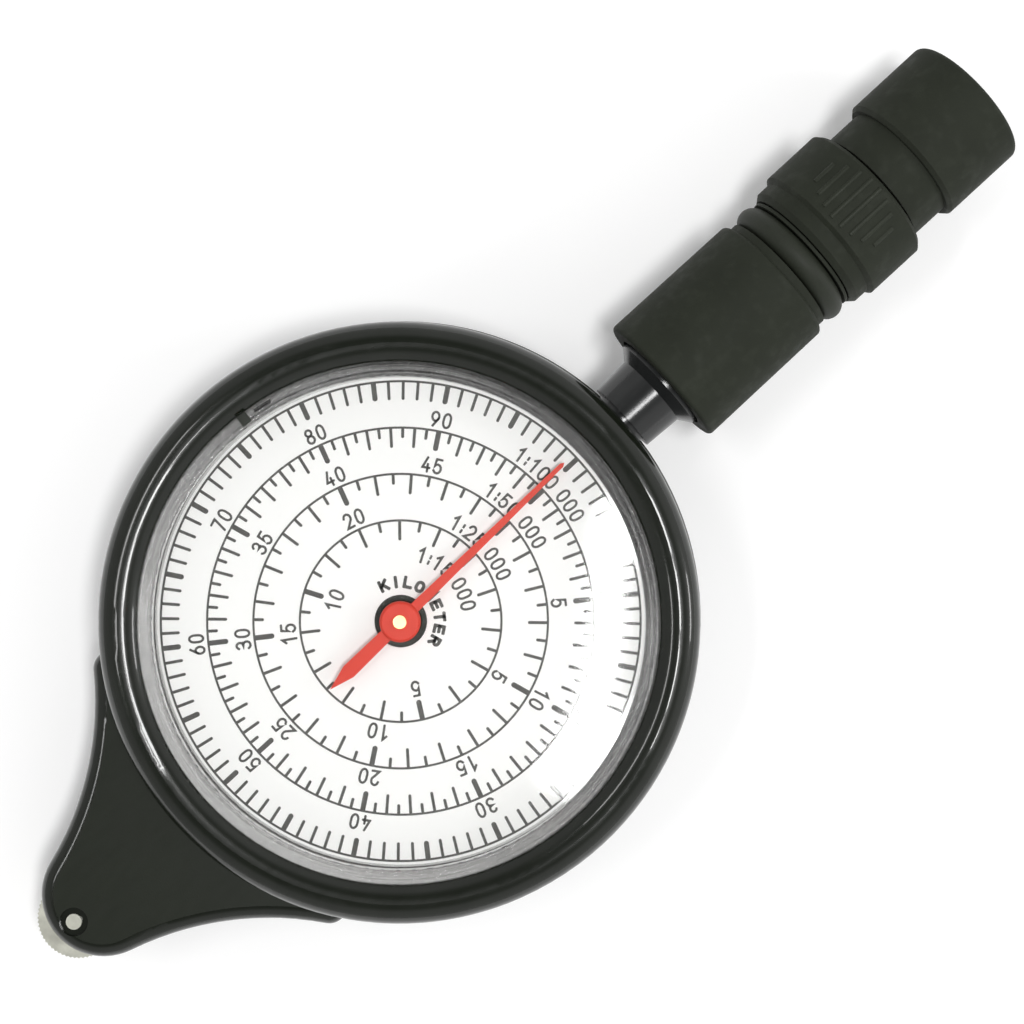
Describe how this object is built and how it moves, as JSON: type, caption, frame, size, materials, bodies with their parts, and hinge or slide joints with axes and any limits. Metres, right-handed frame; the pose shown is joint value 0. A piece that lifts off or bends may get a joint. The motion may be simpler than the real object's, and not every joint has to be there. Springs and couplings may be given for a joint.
{
  "type": "opisometer map measurer",
  "caption": "Hand-held dial map measurer: knurled tail wheel drives a red pointer over a scale dial, with a swivelling quick-release handle.",
  "frame": {"origin": "the dial's centre, on the back face of the case", "axes": "+Z out of the dial; +Y along the handle, away from the wheel; +X to the right as seen with the handle up"},
  "size_m": [0.046, 0.0961, 0.0123],
  "materials": {
    "case_plastic": "glossy black moulding",
    "stem_plastic": "glossy black moulding",
    "grip_plastic": "matte dark moulding",
    "plate_plastic": "matte black moulding",
    "gear_plastic": "natural acetal",
    "washer_plastic": "natural nylon",
    "lens_clear": "clear moulding",
    "dial_white": "white printed sheet",
    "pointer_red": "satin red",
    "o_ring_rubber": "matte rubber",
    "wheel_steel": "nickel-plated steel, fine ridges",
    "pin_steel": "bright steel",
    "screw_steel": "zinc-plated steel",
    "spring_steel": "spring wire",
    "brass": "turned brass"
  },
  "bodies": {
    "case": {"rear_case": "case_plastic", "front_case": "case_plastic", "lens": "lens_clear", "dial": "dial_white", "movement_plate": "plate_plastic", "movement_screws": "screw_steel", "case_screws": "screw_steel", "centre_bush": "brass", "idler_pin": "pin_steel", "wheel_axle": "pin_steel", "wheel_washers": "washer_plastic", "handle_stem": "stem_plastic"},
    "wheel": {"measuring_wheel": "wheel_steel", "wheel_pinion": "brass"},
    "idler": {"idler_gear": "gear_plastic"},
    "transfer": {"transfer_gear": "gear_plastic", "transfer_pinion": "brass", "transfer_arbor": "pin_steel"},
    "pointer": {"pointer": "pointer_red", "pointer_arbor": "brass", "centre_gear": "gear_plastic"},
    "handle": {"handle_core": "grip_plastic", "grip_barrel": "grip_plastic", "grip_o_ring": "o_ring_rubber", "end_knob": "grip_plastic", "collar_spring": "spring_steel"},
    "collar": {"release_collar": "grip_plastic"},
    "ball_1": {"latch_ball_1": "pin_steel"},
    "ball_2": {"latch_ball_2": "pin_steel"},
    "ball_3": {"latch_ball_3": "pin_steel"}
  },
  "joints": [
    {"name": "wheel_spin", "type": "hinge", "parent": "case", "child": "wheel", "pos_m": [0, -0.03392, 0.0051], "axis": [0, 0, 1], "continuous": true},
    {"name": "idler_spin", "type": "hinge", "parent": "case", "child": "idler", "pos_m": [0, -0.02878, 0.00345], "axis": [0, 0, 1], "continuous": true},
    {"name": "transfer_spin", "type": "hinge", "parent": "case", "child": "transfer", "pos_m": [0, -0.01764, 0.00345], "axis": [0, 0, 1], "continuous": true},
    {"name": "pointer_spin", "type": "hinge", "parent": "case", "child": "pointer", "pos_m": [0, 0, 0.0088], "axis": [0, 0, 1], "continuous": true},
    {"name": "handle_swivel", "type": "hinge", "parent": "case", "child": "handle", "pos_m": [0, 0.035, 0.00625], "axis": [0, 1, 0], "continuous": true},
    {"name": "collar_slide", "type": "slide", "parent": "handle", "child": "collar", "axis": [0, 1, 0], "range_m": [0, 0.0018], "stiffness_N_per_m": 500, "springref_m": -0.0015, "deforming": ["collar_spring"]},
    {"name": "ball_1_slide", "type": "slide", "parent": "handle", "child": "ball_1", "axis": [0, 0, 1], "range_m": [0, 0.00045]},
    {"name": "ball_2_slide", "type": "slide", "parent": "handle", "child": "ball_2", "axis": [-0.866, 0, -0.5], "range_m": [0, 0.00045]},
    {"name": "ball_3_slide", "type": "slide", "parent": "handle", "child": "ball_3", "axis": [0.866, 0, -0.5], "range_m": [0, 0.00045]}
  ],
  "couplings": [
    {"joint": "idler_spin", "follows": "wheel_spin", "ratio": -0.41667},
    {"joint": "transfer_spin", "follows": "wheel_spin", "ratio": 0.2},
    {"joint": "pointer_spin", "follows": "wheel_spin", "ratio": -0.02},
    {"joint": "ball_1_slide", "follows": "collar_slide", "ratio": 0.25},
    {"joint": "ball_2_slide", "follows": "collar_slide", "ratio": 0.25},
    {"joint": "ball_3_slide", "follows": "collar_slide", "ratio": 0.25}
  ]
}
